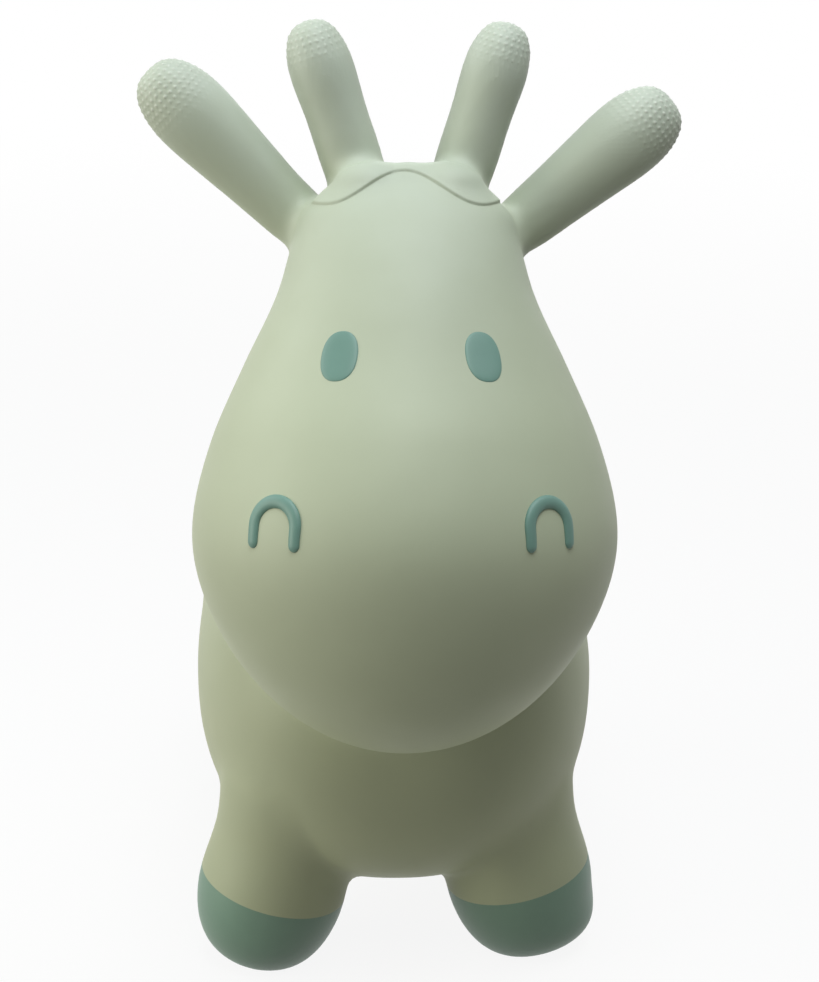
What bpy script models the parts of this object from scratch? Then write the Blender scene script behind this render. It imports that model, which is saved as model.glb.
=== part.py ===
"""Bouncy ride on animal: a hollow moulded hopper with a calf's head, two ears, two horns, four
stub legs and an air valve under its belly. Units are metres, +Z is up, the animal looks along -Y
and its own left is +X. The origin is on the floor, under the middle of the whole toy."""

import math
from dataclasses import dataclass

import bmesh
import bpy
from mathutils import Matrix, Vector

# A form's end share is 1 for an oval end and less for a blunter one. Its section share is 1 for an
# oval section and less for a squarer one.

# Walls and clearances
WALL = 0.0025               # blown skin
HOOF_WALL = 0.0055          # the skin is thicker where the toy stands
GAP = 0.0003                # between pieces that touch
FLEX_GAP = 0.0005           # between a flexing root and what it carries

# Head: a pear, muzzle down and crown up, leaning back along its axis
HEAD_LENGTH = 0.319
HEAD_WIDTH = 0.248
HEAD_FACE = 0.118           # from the axis to the front of the muzzle
HEAD_NAPE = 0.110           # from the axis to the back of the neck
HEAD_TILT = math.radians(18)
HEAD_END_SHARE = 1.0
HEAD_SECTION_SHARE = 1.0
HEAD_SEGMENTS = 28
HEAD_RINGS = 20
MUZZLE_Y = -0.140
MUZZLE_Z = 0.294
MUZZLE_DROP = 0.125         # from the muzzle's middle down the axis to the chin
HEAD_STATION_SHARES = (0, 0.2, 0.36, 0.53, 0.67, 0.79, 0.88, 0.95, 1)
HEAD_WIDTH_SHARES = (1.0, 1.0, 0.975, 0.86, 0.75, 0.69, 0.76, 0.90, 0.78)
HEAD_FACE_SHARES = (1.0, 1.0, 0.98, 0.85, 0.71, 0.65, 0.61, 0.58, 0.59)
HEAD_NAPE_SHARES = (1.0, 1.0, 1.0, 0.95, 0.86, 0.77, 0.71, 0.68, 0.68)

# Body: a barrel along Y with a slight saddle
BODY_LENGTH = 0.395
BODY_WIDTH = 0.245
BODY_TOP = 0.112            # from the barrel's axis up to the saddle
BODY_BELLY = 0.119          # from the barrel's axis down to the belly
BODY_FRONT_Y = -0.160
BODY_Z = 0.155
BODY_END_SHARE = 0.714
BODY_SECTION_SHARE = 0.87
BODY_SEGMENTS = 28
BODY_RINGS = 18
BODY_STATION_SHARES = (0, 0.25, 0.5, 0.75, 1)
BODY_WIDTH_SHARES = (1.0, 1.0, 0.98, 1.0, 1.0)
BODY_TOP_SHARES = (1.0, 0.98, 0.95, 1.03, 1.05)
BODY_BELLY_SHARES = (1.0, 1.0, 0.99, 1.0, 1.0)

# Legs: blunt stubs that splay outwards, with a painted hoof below and a flexing shank above
LEG_LENGTH = 0.170
LEG_RADIUS = 0.044
SIDE_INSET = 0.0475         # from the barrel's side in to the leg's middle
FRONT_INSET = 0.071         # from the chest back to the front legs' middle
REAR_INSET = 0.080          # from the rump forward to the rear legs' middle
LEG_X = BODY_WIDTH / 2 - SIDE_INSET
FRONT_LEG_Y = BODY_FRONT_Y + FRONT_INSET
REAR_LEG_Y = BODY_FRONT_Y + BODY_LENGTH - REAR_INSET
LEG_STAGGER = 0.007         # the right front hoof stands this much ahead, the left behind
LEG_SPLAY = math.radians(14)
LEG_END_SHARE = 0.667
LEG_SECTION_SHARE = 1.0
LEG_SEGMENTS = 16
LEG_RINGS = 12
LEG_STATION_SHARES = (0, 0.25, 0.5, 0.75, 1)
LEG_RADIUS_SHARES = (1.06, 1.04, 0.97, 1.12, 1.15)
SOLE_DEPTH = 0.0027         # how deep the round hoof is cut flat
HOOF_HEIGHT = 0.051         # paint line over the floor, at the leg's middle
LEG_HINGE_X = 0.044         # a leg splays about its inner side, just under the belly
LEG_HINGE_Z = 0.048

# Grips: each is rooted in the head at shares of its half width, of the depth of its nape and of its
# length, and reaches from there out to the side, back and up
GRIP_END_SHARE = 0.667
GRIP_SECTION_SHARE = 1.0
GRIP_SEGMENTS = 14
GRIP_RINGS = 12

# Ears: the outer pair of grips
EAR_ROOT_SHARES = (0.379, 0.186, 0.874)
EAR_REACH = (0.0965, 0.0130, 0.0865)
EAR_WIDTH = 0.0475
EAR_THICKNESS = 0.041
EAR_DROOP = 0.007           # the left ear hangs this much lower, the right one stands higher
EAR_SHIFT = 0.003           # both ears sit this much towards the left
EAR_RING_END = 0.040        # along the ear, where its flexing root ends
EAR_STATION_SHARES = (0, 0.3, 0.55, 0.8, 1)
EAR_SIZE_SHARES = (0.80, 0.76, 0.86, 1.0, 1.02)

# Horns: the inner pair of grips
HORN_ROOT_SHARES = (0.1742, 0.124, 0.9246)
HORN_REACH = (0.0339, 0.0150, 0.1035)
HORN_WIDTH = 0.0372
HORN_RING_END = 0.040
HORN_STATION_SHARES = (0, 0.3, 0.55, 0.8, 1)
HORN_SIZE_SHARES = (1.0, 0.93, 0.91, 1.02, 1.02)

# Forelock: a raised cap of hair on the crown, with a lobe down each side of the forehead, both
# centred at shares of the head like the grips' roots
HAIR_THICKNESS = 0.0025
CROWN_HAIR_SHARES = (0, 0.088, 1.008)
CROWN_HAIR_RADIUS = 0.035
SIDE_HAIR_SHARES = (0.282, -0.047, 1.0)
SIDE_HAIR_RADIUS = 0.024
HAIR_SEGMENTS = 20
HAIR_RINGS = 14

# Eyes and nostrils: raised and painted, placed along the head's axis and round it from the front
PAINT_THICKNESS = 0.0010
EYE_ALONG_SHARE = 0.672
EYE_ROUND = math.radians(25.5)
EYE_WIDTH = 0.021
EYE_HEIGHT = 0.030
EYE_LEAN = math.radians(-11)
EYE_FULLNESS = 2.5          # 2 would be an oval, more is squarer
NOSTRIL_ALONG_SHARE = 0.382
NOSTRIL_ROUND = math.radians(37.8)
NOSTRIL_LEAN = math.radians(8)
NOSTRIL_SPREAD = 0.0255     # between the middles of the arch's two legs
NOSTRIL_LEG = 0.0120        # straight length of each leg
NOSTRIL_BAND = 0.0065       # width of the raised band
NOSTRIL_RELIEF = 0.0025
STAMP_DEPTH = 0.040         # reach of an eye's or nostril's outline through the skin
EYE_SEGMENTS = 24
NOSTRIL_STEPS = 10

# Tail: a short moulded tuft on the rump
TAIL_ROOT_INSET = 0.030      # from the rump's end forward into the barrel
TAIL_ROOT_RISE = 0.067       # over the barrel's axis
TAIL_REACH = (0, 0.042, -0.080)
TAIL_WIDTH = 0.024
TAIL_END_SHARE = 0.91
TAIL_SECTION_SHARE = 1.0
TAIL_SEGMENTS = 12
TAIL_RINGS = 10
TAIL_STATION_SHARES = (0, 0.35, 0.7, 1)
TAIL_SIZE_SHARES = (0.55, 0.6, 1.0, 0.8)

# Air valve, under the belly: a rubber seat that grips the skin and a plug that pulls out
VALVE_Y = 0.030
SEAT_FLANGE_RADIUS = 0.0130
SEAT_FLANGE_THICKNESS = 0.0020
SEAT_NECK_RADIUS = 0.0090
SEAT_LENGTH = 0.0110        # from the flange's outer face to the inner end
SEAT_LIP_RADIUS = 0.0115
SEAT_PLAY = 0.0019
SEAT_GROOVE = WALL + SEAT_PLAY  # takes the curved skin between the flange and the lip
BORE_RADIUS = 0.0042
PLUG_CAP_RADIUS = 0.0085
PLUG_CAP_THICKNESS = 0.0022
PLUG_STEM_LENGTH = 0.0130
PLUG_TIP_RADIUS = 0.0028
PLUG_TIP_LENGTH = 0.0040
VALVE_STEPS = 24
VALVE_HOLE_DEPTH = 0.044    # reach of the hole through the curved skin

# Cutting tools
CUT_SIZE = 0.400            # a block that removes everything on one side of a plane
MERGE_DISTANCE = 0.000001   # joins the ends of a turned outline
SURFACE_STEP_SHARE = 0.01   # how far round a form its slope is read

# Colours and finish of the moulded vinyl
SAGE = (0.50, 0.58, 0.42)
TEAL = (0.16, 0.30, 0.25)
IVORY = (0.80, 0.80, 0.74)
VINYL_ROUGHNESS = 0.55
PAINT_ROUGHNESS = 0.50
SHARP_ANGLE = math.radians(40)


def smooth_value(share, stations, values):
    """A smooth curve through the values at the stations, read at one share of the length."""
    last = len(stations) - 1
    slopes = []
    for i in range(last + 1):
        low = max(i - 1, 0)
        high = min(i + 1, last)
        slopes.append((values[high] - values[low]) / (stations[high] - stations[low]))
    i = 0
    while i < last - 1 and share > stations[i + 1]:
        i += 1
    step = stations[i + 1] - stations[i]
    t = (share - stations[i]) / step
    start = (1 + 2 * t) * (1 - t) ** 2 * values[i] + t * (1 - t) ** 2 * step * slopes[i]
    end = t * t * (3 - 2 * t) * values[i + 1] + t * t * (t - 1) * step * slopes[i + 1]
    return start + end


@dataclass
class Form:
    """A blown form: an oval section that changes along a straight axis, with rounded ends.
    Its section reaches `wide` to each side, `over` towards across x along and `under` away."""
    start: Vector
    along: Vector
    across: Vector
    length: float
    wide: float
    over: float
    under: float
    stations: tuple
    wide_shares: tuple
    over_shares: tuple
    under_shares: tuple
    end_share: float
    section_share: float
    segments: int
    rings: int

    def place(self, unit_point):
        """Where a point of the unit sphere, whose Z is the form's axis, lands on the form."""
        share = (1 + unit_point.z) / 2
        share = min(max(share, 0.0), 1.0)
        power = 2 / self.end_share
        end_round = max(1 - abs(2 * share - 1) ** power, 0.0) ** (1 / power)
        around = Vector((unit_point.x, unit_point.y))
        if around.length > 0:
            around.normalize()
            around = Vector([math.copysign(abs(part) ** self.section_share, part)
                             for part in around])
        wide = self.wide * smooth_value(share, self.stations, self.wide_shares)
        if around.y < 0:
            deep = self.over * smooth_value(share, self.stations, self.over_shares)
        else:
            deep = self.under * smooth_value(share, self.stations, self.under_shares)
        under_way = self.along.cross(self.across)
        middle = self.start + self.along * (share * self.length)
        return middle + (self.across * around.x * wide + under_way * around.y * deep) * end_round

    def on_surface(self, share, turn):
        """Point and outward direction at a share of the length, turned from the over side."""
        height = 2 * share - 1
        flat = math.sqrt(1 - height ** 2)
        step = SURFACE_STEP_SHARE

        def at(turned, raised):
            level = height + raised
            ring = math.sqrt(1 - level ** 2)
            return self.place(Vector((ring * math.sin(turned), -ring * math.cos(turned), level)))

        point = self.place(Vector((flat * math.sin(turn), -flat * math.cos(turn), height)))
        round_way = at(turn + step, 0) - at(turn - step, 0)
        up_way = at(turn, step) - at(turn, -step)
        return point, round_way.cross(up_way).normalized()

    def add_to(self, bm, grow=0.0, inward=False):
        """Add the form's surface to a mesh, moved outwards by grow, and turned inside if asked."""
        made = bmesh.ops.create_uvsphere(bm, u_segments=self.segments, v_segments=self.rings,
                                         radius=1)
        verts = made["verts"]
        for vert in verts:
            vert.co = self.place(vert.co)
        faces = list({face for vert in verts for face in vert.link_faces})
        bm.normal_update()
        moved = [(vert, vert.co + vert.normal * grow) for vert in verts]
        for vert, place in moved:
            vert.co = place
        if inward:
            bmesh.ops.reverse_faces(bm, faces=faces)
        return verts


def head_form():
    along = Vector((0, math.sin(HEAD_TILT), math.cos(HEAD_TILT)))
    start = Vector((0, MUZZLE_Y, MUZZLE_Z)) - along * MUZZLE_DROP
    return Form(start, along, Vector((1, 0, 0)), HEAD_LENGTH, HEAD_WIDTH / 2, HEAD_FACE, HEAD_NAPE,
                HEAD_STATION_SHARES, HEAD_WIDTH_SHARES, HEAD_FACE_SHARES, HEAD_NAPE_SHARES,
                HEAD_END_SHARE, HEAD_SECTION_SHARE, HEAD_SEGMENTS, HEAD_RINGS)


def body_form():
    return Form(Vector((0, BODY_FRONT_Y, BODY_Z)), Vector((0, 1, 0)), Vector((1, 0, 0)),
                BODY_LENGTH, BODY_WIDTH / 2, BODY_TOP, BODY_BELLY, BODY_STATION_SHARES,
                BODY_WIDTH_SHARES, BODY_TOP_SHARES, BODY_BELLY_SHARES, BODY_END_SHARE,
                BODY_SECTION_SHARE, BODY_SEGMENTS, BODY_RINGS)


def leg_form(side, leg_y):
    along = Vector((-side * math.sin(LEG_SPLAY), 0, math.cos(LEG_SPLAY)))
    ball = Vector((side * LEG_X, leg_y, LEG_RADIUS - SOLE_DEPTH))
    return Form(ball - along * LEG_RADIUS, along, Vector((0, 1, 0)), LEG_LENGTH, LEG_RADIUS,
                LEG_RADIUS, LEG_RADIUS, LEG_STATION_SHARES, LEG_RADIUS_SHARES, LEG_RADIUS_SHARES,
                LEG_RADIUS_SHARES, LEG_END_SHARE, LEG_SECTION_SHARE, LEG_SEGMENTS, LEG_RINGS)


def head_place(head, side, shares):
    """A place in the head at shares of its half width, of its nape's depth and of its length."""
    out, back, up = shares
    back_way = head.along.cross(head.across)
    return (head.start + head.across * (side * out * head.wide) + back_way * (back * head.under)
            + head.along * (up * head.length))


def grip_form(root, side, reach, width, thickness, stations, sizes):
    """An ear or horn: a club whose width faces the rider and whose thickness runs fore and aft."""
    run = Vector((side * reach[0], reach[1], reach[2]))
    along = run.normalized()
    across = Vector((0, 1, 0)).cross(along).normalized()
    return Form(root, along, across, run.length, width / 2,
                thickness / 2, thickness / 2, stations, sizes, sizes, sizes, GRIP_END_SHARE,
                GRIP_SECTION_SHARE, GRIP_SEGMENTS, GRIP_RINGS)


def ear_form(head, side):
    root = head_place(head, side, EAR_ROOT_SHARES) + Vector((EAR_SHIFT, 0, 0))
    reach = (EAR_REACH[0], EAR_REACH[1], EAR_REACH[2] - side * EAR_DROOP)
    return grip_form(root, side, reach, EAR_WIDTH, EAR_THICKNESS, EAR_STATION_SHARES,
                     EAR_SIZE_SHARES)


def horn_form(head, side):
    root = head_place(head, side, HORN_ROOT_SHARES)
    return grip_form(root, side, HORN_REACH, HORN_WIDTH, HORN_WIDTH, HORN_STATION_SHARES,
                     HORN_SIZE_SHARES)


def tail_form():
    rump_y = BODY_FRONT_Y + BODY_LENGTH
    root = Vector((0, rump_y - TAIL_ROOT_INSET, BODY_Z + TAIL_ROOT_RISE))
    run = Vector(TAIL_REACH)
    return Form(root, run.normalized(), Vector((1, 0, 0)), run.length, TAIL_WIDTH / 2,
                TAIL_WIDTH / 2, TAIL_WIDTH / 2, TAIL_STATION_SHARES, TAIL_SIZE_SHARES,
                TAIL_SIZE_SHARES, TAIL_SIZE_SHARES, TAIL_END_SHARE, TAIL_SECTION_SHARE,
                TAIL_SEGMENTS, TAIL_RINGS)


def clear_scene():
    for thing in list(bpy.data.objects):
        bpy.data.objects.remove(thing, do_unlink=True)


def collection(name):
    made = bpy.data.collections.new(name)
    bpy.context.scene.collection.children.link(made)
    return made


def finish(name, colour, roughness):
    material = bpy.data.materials.new(name)
    material.use_nodes = True
    shader = material.node_tree.nodes["Principled BSDF"]
    shader.inputs["Base Color"].default_value = (*colour, 1)
    shader.inputs["Roughness"].default_value = roughness
    shader.inputs["Metallic"].default_value = 0
    material.diffuse_color = (*colour, 1)
    return material


class Workshop:
    """Adds pieces and cutters to their collections and keeps the finishes."""

    def __init__(self):
        self.pieces = collection("bouncy_ride_on_animal")
        self.cutters = collection("cutters")
        self.sage = finish("sage_vinyl", SAGE, VINYL_ROUGHNESS)
        self.teal = finish("teal_paint", TEAL, PAINT_ROUGHNESS)
        self.ivory = finish("ivory_plastic", IVORY, PAINT_ROUGHNESS)

    def object_from(self, name, bm, origin, where):
        mesh = bpy.data.meshes.new(name)
        bmesh.ops.translate(bm, vec=-origin, verts=bm.verts)
        bm.to_mesh(mesh)
        bm.free()
        made = bpy.data.objects.new(name, mesh)
        made.location = origin
        where.objects.link(made)
        return made

    def piece(self, name, bm, material, origin=Vector((0, 0, 0))):
        made = self.object_from(name, bm, origin, self.pieces)
        made.data.materials.append(material)
        made.data.shade_smooth()
        made.data.set_sharp_from_angle(angle=SHARP_ANGLE)
        return made

    def cutter(self, name, bm):
        made = self.object_from(name, bm, Vector((0, 0, 0)), self.cutters)
        made.hide_render = True
        made.display_type = "WIRE"
        return made

    def form_cutter(self, name, form, grow):
        bm = bmesh.new()
        form.add_to(bm, grow)
        return self.cutter(name, bm)

    def plane_cutter(self, name, point, direction):
        """A block with one face through the point, which removes what lies along direction."""
        bm = bmesh.new()
        bmesh.ops.create_cube(bm, size=CUT_SIZE)
        turn = Vector((0, 0, 1)).rotation_difference(direction).to_matrix().to_4x4()
        place = Matrix.Translation(point + direction * (CUT_SIZE / 2)) @ turn
        bmesh.ops.transform(bm, matrix=place, verts=bm.verts)
        return self.cutter(name, bm)


def cut(piece, cutter, operation="DIFFERENCE"):
    modifier = piece.modifiers.new(cutter.name, "BOOLEAN")
    modifier.operation = operation
    modifier.object = cutter
    modifier.solver = "EXACT"


def shell(form, wall):
    """Mesh of a form with an even wall, still closed all round."""
    bm = bmesh.new()
    form.add_to(bm)
    form.add_to(bm, grow=-wall, inward=True)
    return bm


def solid(form):
    bm = bmesh.new()
    form.add_to(bm)
    return bm


def turned(profile, steps):
    """A turned ring or post: a closed outline of (radius, height) spun round the Z axis."""
    bm = bmesh.new()
    outline = [bm.verts.new((radius, 0, height)) for radius, height in profile]
    edges = [bm.edges.new((outline[i - 1], outline[i])) for i in range(len(outline))]
    bmesh.ops.spin(bm, geom=outline + edges, cent=(0, 0, 0), axis=(0, 0, 1), dvec=(0, 0, 0),
                   angle=math.tau, steps=steps, use_merge=True)
    bmesh.ops.remove_doubles(bm, verts=bm.verts, dist=MERGE_DISTANCE)
    bmesh.ops.recalc_face_normals(bm, faces=bm.faces)
    return bm


def stamp_frame(form, share, turn):
    """A frame on the form's surface: Z points out, Y up the skin and X across it."""
    point, out = form.on_surface(share, turn)
    up = (Vector((0, 0, 1)) - out * out.z).normalized()
    across = up.cross(out)
    turned_frame = Matrix((across, up, out)).transposed().to_4x4()
    return Matrix.Translation(point) @ turned_frame


def oval_stamp(frame, width, height, lean):
    """An egg-shaped prism that crosses the skin."""
    bm = bmesh.new()
    bmesh.ops.create_cone(bm, cap_ends=True, segments=EYE_SEGMENTS, radius1=width / 2,
                          radius2=width / 2, depth=STAMP_DEPTH)
    for vert in bm.verts:
        round_way = vert.co.xy.normalized()
        fullness = (abs(round_way.x) ** EYE_FULLNESS
                    + abs(round_way.y) ** EYE_FULLNESS) ** (-1 / EYE_FULLNESS)
        vert.co.xy = vert.co.xy * fullness
    bmesh.ops.scale(bm, vec=(1, height / width, 1), verts=bm.verts)
    bmesh.ops.transform(bm, matrix=frame @ Matrix.Rotation(lean, 4, "Z"), verts=bm.verts)
    return bm


def arch_stamp(frame, lean):
    """A prism with the outline of an arch: half a ring with two straight legs."""
    bm = bmesh.new()
    inner = (NOSTRIL_SPREAD - NOSTRIL_BAND) / 2
    outer = (NOSTRIL_SPREAD + NOSTRIL_BAND) / 2
    reach = STAMP_DEPTH / 2
    corners = [bm.verts.new(place) for place in ((inner, 0, -reach), (outer, 0, -reach),
                                                 (outer, 0, reach), (inner, 0, reach))]
    first = bm.faces.new(corners)
    spun = bmesh.ops.spin(bm, geom=[first], cent=(0, 0, 0), axis=(0, 0, 1), dvec=(0, 0, 0),
                          angle=math.pi, steps=NOSTRIL_STEPS, use_duplicate=False)
    last = [item for item in spun["geom_last"] if isinstance(item, bmesh.types.BMFace)]
    start_end = [face for face in bm.faces if abs(face.calc_center_median().y) < GAP
                 and face not in last]
    for end in last + start_end:
        drawn = bmesh.ops.extrude_face_region(bm, geom=[end])
        moved = [item for item in drawn["geom"] if isinstance(item, bmesh.types.BMVert)]
        bmesh.ops.translate(bm, vec=(0, -NOSTRIL_LEG, 0), verts=moved)
        bmesh.ops.delete(bm, geom=[end], context="FACES_ONLY")
    bmesh.ops.translate(bm, vec=(0, NOSTRIL_LEG / 2, 0), verts=bm.verts)
    bmesh.ops.recalc_face_normals(bm, faces=bm.faces)
    bmesh.ops.transform(bm, matrix=frame @ Matrix.Rotation(lean, 4, "Z"), verts=bm.verts)
    return bm


def belly_height(body):
    """The lowest the belly reaches under the valve's flange."""
    heights = []
    for y in (VALVE_Y - SEAT_FLANGE_RADIUS, VALVE_Y, VALVE_Y + SEAT_FLANGE_RADIUS):
        point, _ = body.on_surface((y - BODY_FRONT_Y) / BODY_LENGTH, math.pi)
        heights.append(point.z)
    return min(heights)


def build_body(shop, head, body, legs, belly):
    """The barrel, open into the head and each leg, with a hole for the valve."""
    skin = shop.piece("body_skin", shell(body, WALL), shop.sage)
    cut(skin, shop.form_cutter("head_air", head, -(WALL + GAP)))
    for name, leg in legs.items():
        cut(skin, shop.form_cutter(f"{name}_leg_air", leg, -(WALL + GAP)))
    hole = bmesh.new()
    bmesh.ops.create_cone(hole, cap_ends=True, segments=VALVE_STEPS,
                          depth=VALVE_HOLE_DEPTH, radius1=SEAT_NECK_RADIUS + GAP,
                          radius2=SEAT_NECK_RADIUS + GAP)
    bmesh.ops.translate(hole, vec=(0, VALVE_Y, belly), verts=hole.verts)
    cut(skin, shop.cutter("valve_hole", hole))


def build_head(shop, head, body_clear, grips):
    """The head skin, open where it meets the body, the ears and the horns."""
    skin = shop.piece("head_skin", shell(head, WALL), shop.sage)
    cut(skin, body_clear)
    for name, (form, _) in grips.items():
        cut(skin, shop.form_cutter(f"{name}_air", form, -(WALL + GAP)))


def build_legs(shop, legs, body_clear):
    """Each leg is a flexing shank under the body and a thicker painted hoof below it. The hoof
    swings outwards and up about the leg's inner side when weight comes on it."""
    for name, leg in legs.items():
        along = leg.along
        side = math.copysign(1, leg.start.x)
        line = Vector((side * LEG_X, leg.start.y, HOOF_HEIGHT))
        hinge = Vector((side * LEG_HINGE_X, leg.start.y, LEG_HINGE_Z))
        shank = shop.piece(f"{name}_shank", shell(leg, WALL), shop.sage)
        cut(shank, body_clear)
        cut(shank, shop.plane_cutter(f"below_{name}_shank", line + along * (FLEX_GAP / 2), -along))
        hoof = shop.piece(f"{name}_hoof", shell(leg, HOOF_WALL), shop.teal, origin=hinge)
        cut(hoof, shop.plane_cutter(f"above_{name}_hoof", line - along * (FLEX_GAP / 2), along))
        cut(hoof, shop.plane_cutter(f"under_{name}_hoof", Vector((line.x, line.y, 0)),
                                    Vector((0, 0, -1))))


def build_grips(shop, grips, head_clear):
    """Each ear and horn is a hollow grip on a flexing root."""
    for name, (form, ring_end) in grips.items():
        joint = form.start + form.along * ring_end
        root = shop.piece(f"{name}_root", shell(form, WALL), shop.sage)
        cut(root, head_clear)
        cut(root, shop.plane_cutter(f"beyond_{name}_root", joint - form.along * (FLEX_GAP / 2),
                                    form.along))
        grip = shop.piece(name, shell(form, WALL), shop.sage, origin=joint)
        cut(grip, shop.plane_cutter(f"short_of_{name}", joint + form.along * (FLEX_GAP / 2),
                                    -form.along))


def hair_lobe(centre, radius):
    """A ball that marks out one lobe of the hair where it crosses the head's surface."""
    bm = bmesh.new()
    bmesh.ops.create_uvsphere(bm, u_segments=HAIR_SEGMENTS, v_segments=HAIR_RINGS,
                              radius=radius)
    bmesh.ops.translate(bm, vec=centre, verts=bm.verts)
    return bm


def build_forelock(shop, head, head_clear, grips):
    """Three overlapping lobes of hair, as thick as the relief, with holes for the horns."""
    crown = head_place(head, 1, CROWN_HAIR_SHARES)
    hair = shop.piece("forelock", hair_lobe(crown, CROWN_HAIR_RADIUS), shop.sage)
    for side, name in ((1, "left"), (-1, "right")):
        lobe = hair_lobe(head_place(head, side, SIDE_HAIR_SHARES), SIDE_HAIR_RADIUS)
        cut(hair, shop.cutter(f"{name}_hair_lobe", lobe), "UNION")
    cut(hair, shop.form_cutter("hair_surface", head, GAP + HAIR_THICKNESS), "INTERSECT")
    cut(hair, head_clear)
    for name, (form, _) in grips.items():
        cut(hair, shop.form_cutter(f"{name}_clear", form, GAP))


def build_face(shop, head, head_clear):
    """Painted eyes and raised nostril arches, each as thick as its relief."""
    eye_surface = shop.form_cutter("eye_surface", head, GAP + PAINT_THICKNESS)
    nostril_surface = shop.form_cutter("nostril_surface", head, GAP + NOSTRIL_RELIEF)
    for side, name in ((1, "left"), (-1, "right")):
        eye_frame = stamp_frame(head, EYE_ALONG_SHARE, side * EYE_ROUND)
        eye = shop.piece(f"{name}_eye", oval_stamp(eye_frame, EYE_WIDTH, EYE_HEIGHT,
                                                   side * EYE_LEAN), shop.teal)
        cut(eye, eye_surface, "INTERSECT")
        cut(eye, head_clear)
        nostril_frame = stamp_frame(head, NOSTRIL_ALONG_SHARE, side * NOSTRIL_ROUND)
        nostril = shop.piece(f"{name}_nostril", arch_stamp(nostril_frame, -side * NOSTRIL_LEAN),
                             shop.teal)
        cut(nostril, nostril_surface, "INTERSECT")
        cut(nostril, head_clear)


def build_tail(shop, body_clear):
    tail = shop.piece("tail", solid(tail_form()), shop.sage)
    cut(tail, body_clear)


def build_valve(shop, belly):
    """The seat hangs in the belly like a grommet, and the plug closes its bore from below."""
    flange_top = belly - GAP
    flange_bottom = flange_top - SEAT_FLANGE_THICKNESS
    lip_bottom = flange_top + SEAT_GROOVE
    seat_top = flange_bottom + SEAT_LENGTH
    seat_profile = ((BORE_RADIUS, flange_bottom), (SEAT_FLANGE_RADIUS, flange_bottom),
                    (SEAT_FLANGE_RADIUS, flange_top), (SEAT_NECK_RADIUS, flange_top),
                    (SEAT_NECK_RADIUS, lip_bottom), (SEAT_LIP_RADIUS, lip_bottom),
                    (SEAT_NECK_RADIUS, seat_top), (BORE_RADIUS, seat_top))
    seat = turned(seat_profile, VALVE_STEPS)
    bmesh.ops.translate(seat, vec=(0, VALVE_Y, 0), verts=seat.verts)
    shop.piece("valve_seat", seat, shop.ivory)

    cap_top = flange_bottom - GAP
    cap_bottom = cap_top - PLUG_CAP_THICKNESS
    stem = BORE_RADIUS - GAP
    stem_top = cap_top + PLUG_STEM_LENGTH
    plug_profile = ((0, cap_bottom), (PLUG_CAP_RADIUS, cap_bottom), (PLUG_CAP_RADIUS, cap_top),
                    (stem, cap_top), (stem, stem_top - PLUG_TIP_LENGTH),
                    (PLUG_TIP_RADIUS, stem_top), (0, stem_top))
    plug = turned(plug_profile, VALVE_STEPS)
    bmesh.ops.translate(plug, vec=(0, VALVE_Y, 0), verts=plug.verts)
    shop.piece("valve_plug", plug, shop.ivory, origin=Vector((0, VALVE_Y, cap_top)))


def build():
    clear_scene()
    shop = Workshop()
    head = head_form()
    body = body_form()
    legs = {}
    grips = {}
    for side, hand in ((1, "left"), (-1, "right")):
        legs[f"front_{hand}"] = leg_form(side, FRONT_LEG_Y + side * LEG_STAGGER)
        legs[f"rear_{hand}"] = leg_form(side, REAR_LEG_Y)
        grips[f"{hand}_ear"] = (ear_form(head, side), EAR_RING_END)
        grips[f"{hand}_horn"] = (horn_form(head, side), HORN_RING_END)
    body_clear = shop.form_cutter("body_clear", body, GAP)
    head_clear = shop.form_cutter("head_clear", head, GAP)
    belly = belly_height(body)
    build_body(shop, head, body, legs, belly)
    build_head(shop, head, body_clear, grips)
    build_legs(shop, legs, body_clear)
    build_grips(shop, grips, head_clear)
    build_forelock(shop, head, head_clear, grips)
    build_face(shop, head, head_clear)
    build_tail(shop, body_clear)
    build_valve(shop, belly)


build()
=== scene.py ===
"""Looks of the bouncy ride on animal: the blown vinyl skin with its hair and pimpled grips, the
painted eyes, nostrils and hooves, the air valve, and the light.
Units are metres, +Z is up, the animal looks along -Y and its own left is +X."""
from dataclasses import dataclass
from math import atan2, copysign, cos, pi, radians, sin, sqrt, tau

import bmesh
import bpy
from mathutils import Matrix, Vector
from mathutils.bvhtree import BVHTree
from mathutils.kdtree import KDTree


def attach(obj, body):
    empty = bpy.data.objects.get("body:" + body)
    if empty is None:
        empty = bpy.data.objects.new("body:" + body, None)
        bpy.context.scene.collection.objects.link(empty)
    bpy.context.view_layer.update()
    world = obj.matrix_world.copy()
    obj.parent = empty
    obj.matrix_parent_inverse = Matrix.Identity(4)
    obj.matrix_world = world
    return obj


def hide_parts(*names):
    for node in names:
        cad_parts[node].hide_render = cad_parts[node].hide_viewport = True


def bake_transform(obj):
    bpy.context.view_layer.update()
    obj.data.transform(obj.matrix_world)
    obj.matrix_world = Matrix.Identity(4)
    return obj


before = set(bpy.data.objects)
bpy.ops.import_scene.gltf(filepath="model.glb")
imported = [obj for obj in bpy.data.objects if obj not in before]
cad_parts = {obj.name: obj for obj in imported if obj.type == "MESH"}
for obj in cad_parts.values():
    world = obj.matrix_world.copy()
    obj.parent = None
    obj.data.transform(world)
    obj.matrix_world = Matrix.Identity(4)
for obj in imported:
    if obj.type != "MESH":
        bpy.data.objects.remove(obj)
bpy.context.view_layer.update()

SIDES = ((1, "left"), (-1, "right"))
LEFT, BACK, UP = Vector((1, 0, 0)), Vector((0, 1, 0)), Vector((0, 0, 1))

LARGE_FORM = (144, 108)  # faces round a form, and along it
SMALL_FORM = (96, 72)

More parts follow.
